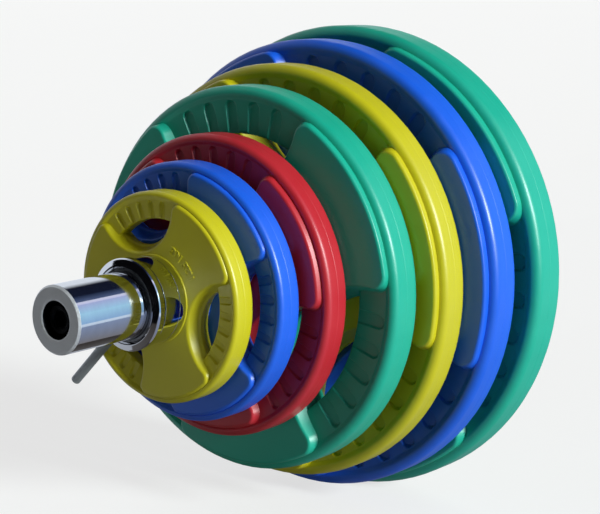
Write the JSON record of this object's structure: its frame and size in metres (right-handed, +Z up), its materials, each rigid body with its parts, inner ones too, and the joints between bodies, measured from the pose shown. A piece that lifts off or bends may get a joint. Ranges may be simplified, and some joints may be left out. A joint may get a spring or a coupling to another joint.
{
  "type": "loaded barbell end with rubber coated weight plates",
  "caption": "Outer end of a barbell: rubber-coated three-lobed grip plates, colour-coded by weight and largest innermost, on a spinning chrome sleeve with a lever collar.",
  "frame": {"origin": "centre of the cut face at the inner end of the bar's shaft, on the bar's axis", "axes": "+Z up, +Y along the bar's axis towards the middle of the bar, -Y out of the sleeve's end"},
  "size_m": [0.3914, 0.4576, 0.3916],
  "materials": {
    "rubber_yellow": "satin moulded rubber",
    "rubber_blue": "satin moulded rubber",
    "rubber_red": "satin moulded rubber",
    "rubber_green": "satin moulded rubber",
    "cast_iron": "rough sand casting",
    "chrome": "polished chrome plate",
    "steel": "satin machined steel",
    "bronze": "sintered bearing bronze"
  },
  "bodies": {
    "bar": {"bar_shaft": "chrome", "end_bolt": "steel", "end_washer": "steel", "thrust_washer": "bronze"},
    "sleeve": {"sleeve_tube": "chrome", "stop_collar": "chrome", "inner_bushing": "bronze", "outer_bushing": "bronze"},
    "plate_25kg": {"plate_25kg_rubber_coat": "rubber_green", "plate_25kg_iron_core": "cast_iron", "plate_25kg_hub_ring": "steel"},
    "plate_20kg": {"plate_20kg_rubber_coat": "rubber_blue", "plate_20kg_iron_core": "cast_iron", "plate_20kg_hub_ring": "steel"},
    "plate_15kg": {"plate_15kg_rubber_coat": "rubber_yellow", "plate_15kg_iron_core": "cast_iron", "plate_15kg_hub_ring": "steel"},
    "plate_10kg": {"plate_10kg_rubber_coat": "rubber_green", "plate_10kg_iron_core": "cast_iron", "plate_10kg_hub_ring": "steel"},
    "plate_5kg": {"plate_5kg_rubber_coat": "rubber_red", "plate_5kg_iron_core": "cast_iron", "plate_5kg_hub_ring": "steel"},
    "plate_2_5kg": {"plate_2_5kg_rubber_coat": "rubber_blue", "plate_2_5kg_iron_core": "cast_iron", "plate_2_5kg_hub_ring": "steel"},
    "plate_1_25kg": {"plate_1_25kg_rubber_coat": "rubber_yellow", "plate_1_25kg_iron_core": "cast_iron", "plate_1_25kg_hub_ring": "steel"},
    "collar": {"collar_body": "chrome", "grip_collet": "steel"},
    "clamp_ring": {"pressure_ring": "chrome"},
    "lever": {"lever_ring": "chrome", "clamp_lever": "steel"}
  },
  "joints": [
    {"name": "sleeve_spin", "type": "hinge", "parent": "bar", "child": "sleeve", "pos_m": [0, 0, 0], "axis": [0, -1, 0], "continuous": true},
    {"name": "plate_25kg_slide", "type": "slide", "parent": "sleeve", "child": "plate_25kg", "axis": [0, -1, 0], "range_m": [0, 0.066]},
    {"name": "plate_20kg_slide", "type": "slide", "parent": "plate_25kg", "child": "plate_20kg", "axis": [0, -1, 0], "range_m": [0, 0.066]},
    {"name": "plate_15kg_slide", "type": "slide", "parent": "plate_20kg", "child": "plate_15kg", "axis": [0, -1, 0], "range_m": [0, 0.066]},
    {"name": "plate_10kg_slide", "type": "slide", "parent": "plate_15kg", "child": "plate_10kg", "axis": [0, -1, 0], "range_m": [0, 0.066]},
    {"name": "plate_5kg_slide", "type": "slide", "parent": "plate_10kg", "child": "plate_5kg", "axis": [0, -1, 0], "range_m": [0, 0.066]},
    {"name": "plate_2_5kg_slide", "type": "slide", "parent": "plate_5kg", "child": "plate_2_5kg", "axis": [0, -1, 0], "range_m": [0, 0.066]},
    {"name": "plate_1_25kg_slide", "type": "slide", "parent": "plate_2_5kg", "child": "plate_1_25kg", "axis": [0, -1, 0], "range_m": [0, 0.066]},
    {"name": "collar_slide", "type": "slide", "parent": "plate_1_25kg", "child": "collar", "axis": [0, -1, 0], "range_m": [0, 0.11]},
    {"name": "clamp_ring_slide", "type": "slide", "parent": "collar", "child": "clamp_ring", "axis": [0, -1, 0], "range_m": [0, 0.0021]},
    {"name": "lever_turn", "type": "hinge", "parent": "clamp_ring", "child": "lever", "pos_m": [0, -0.37355, 0], "axis": [0, -1, 0], "range_deg": [0, 180]}
  ],
  "couplings": [
    {"joint": "clamp_ring_slide", "follows": "lever_turn", "m_per_rad": 0.00063662}
  ]
}
